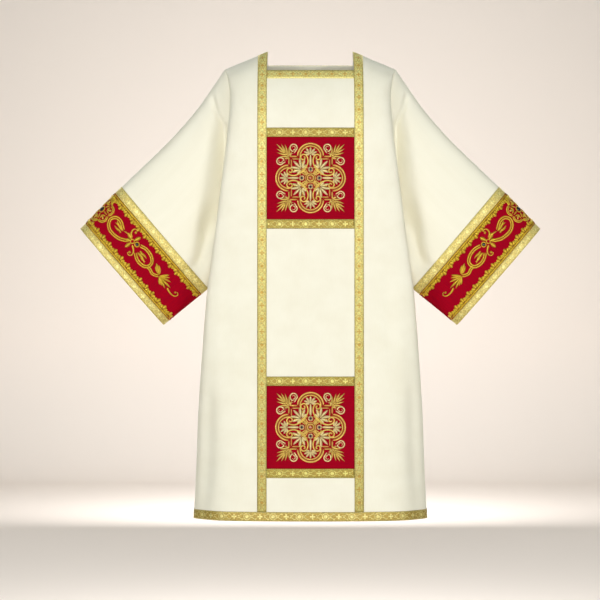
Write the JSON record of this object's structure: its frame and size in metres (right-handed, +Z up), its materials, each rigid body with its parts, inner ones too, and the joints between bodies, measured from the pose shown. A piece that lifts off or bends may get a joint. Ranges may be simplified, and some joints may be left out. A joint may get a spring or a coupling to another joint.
{
  "type": "dalmatic",
  "caption": "Wide-sleeved liturgical dalmatic, worn shape and hollow: cream cloth, square neck, gold galloon strips, red embroidered square panels and red cuff bands",
  "frame": {"origin": "Between the wearer's shoulders in the middle of the neck opening, level with the shoulder line 146 mm out from the middle, where the shoulders hold the garment up.", "axes": "+Z up, the front faces -Y, and the wearer's left sleeve points to +X."},
  "size_m": [1.2356, 0.322, 1.2485],
  "materials": {
    "cream_cloth": "matt woven",
    "gold_galloon": "woven with gold thread",
    "red_cloth": "matt woven",
    "gold_embroidery": "satin stitch",
    "stone": "polished"
  },
  "bodies": {
    "root": {"front": "cream_cloth", "back": "cream_cloth", "sleeve_left": "cream_cloth", "sleeve_right": "cream_cloth", "cuff_galloon_inner_left": "gold_galloon", "cuff_galloon_inner_right": "gold_galloon", "cuff_band_left": "red_cloth", "cuff_band_right": "red_cloth", "cuff_galloon_edge_left": "gold_galloon", "cuff_galloon_edge_right": "gold_galloon", "clavus_galloon_left": "gold_galloon", "clavus_galloon_right": "gold_galloon", "neck_galloon_front": "gold_galloon", "neck_galloon_back": "gold_galloon", "bar_galloon_front_1": "gold_galloon", "bar_galloon_front_2": "gold_galloon", "bar_galloon_front_3": "gold_galloon", "bar_galloon_front_4": "gold_galloon", "bar_galloon_back_1": "gold_galloon", "bar_galloon_back_2": "gold_galloon", "bar_galloon_back_3": "gold_galloon", "bar_galloon_back_4": "gold_galloon", "square_front_upper": "red_cloth", "square_front_lower": "red_cloth", "square_back_upper": "red_cloth", "square_back_lower": "red_cloth", "hem_galloon": "gold_galloon"}
  },
  "joints": []
}
